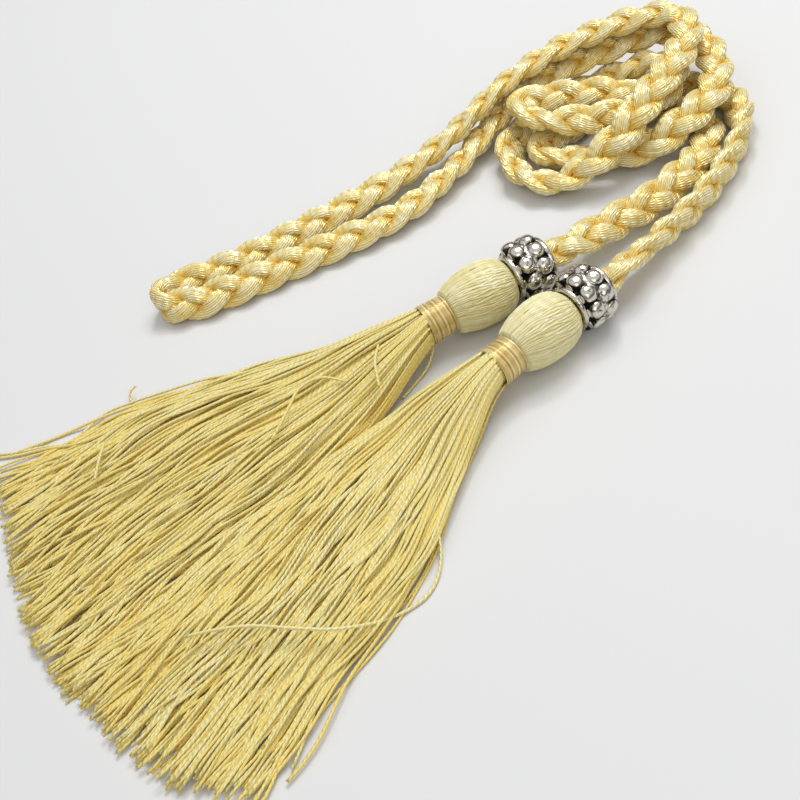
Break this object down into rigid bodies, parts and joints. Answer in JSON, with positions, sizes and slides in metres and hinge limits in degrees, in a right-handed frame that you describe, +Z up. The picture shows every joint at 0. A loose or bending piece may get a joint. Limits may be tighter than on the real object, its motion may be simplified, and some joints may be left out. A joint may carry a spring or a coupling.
{
  "type": "tassel cord belt",
  "caption": "Plaited satin cord belt, folded double and loosely coiled, with a large-hole dotted metal bead and a long fringed tassel on each end.",
  "frame": {"origin": "middle of the belt's outline, on the surface it lies on", "axes": "+X along the folded belt from the fringe tips and the fold towards the coil, +Y from the tassels towards the folded legs, +Z up"},
  "size_m": [0.1937, 0.1713, 0.0185],
  "materials": {
    "braid_cord": "silky, twisted yarn",
    "fringe_thread": "silky, twisted thread",
    "satin_thread": "glossy thread, closely wound",
    "antique_silver": "polished high points, dark recesses"
  },
  "bodies": {
    "root": {"braid": "braid_cord", "bead_1": "antique_silver", "bead_2": "antique_silver", "tassel_1": "fringe_thread", "tassel_2": "fringe_thread", "neck_binding_1": "satin_thread", "neck_binding_2": "satin_thread"}
  },
  "joints": []
}
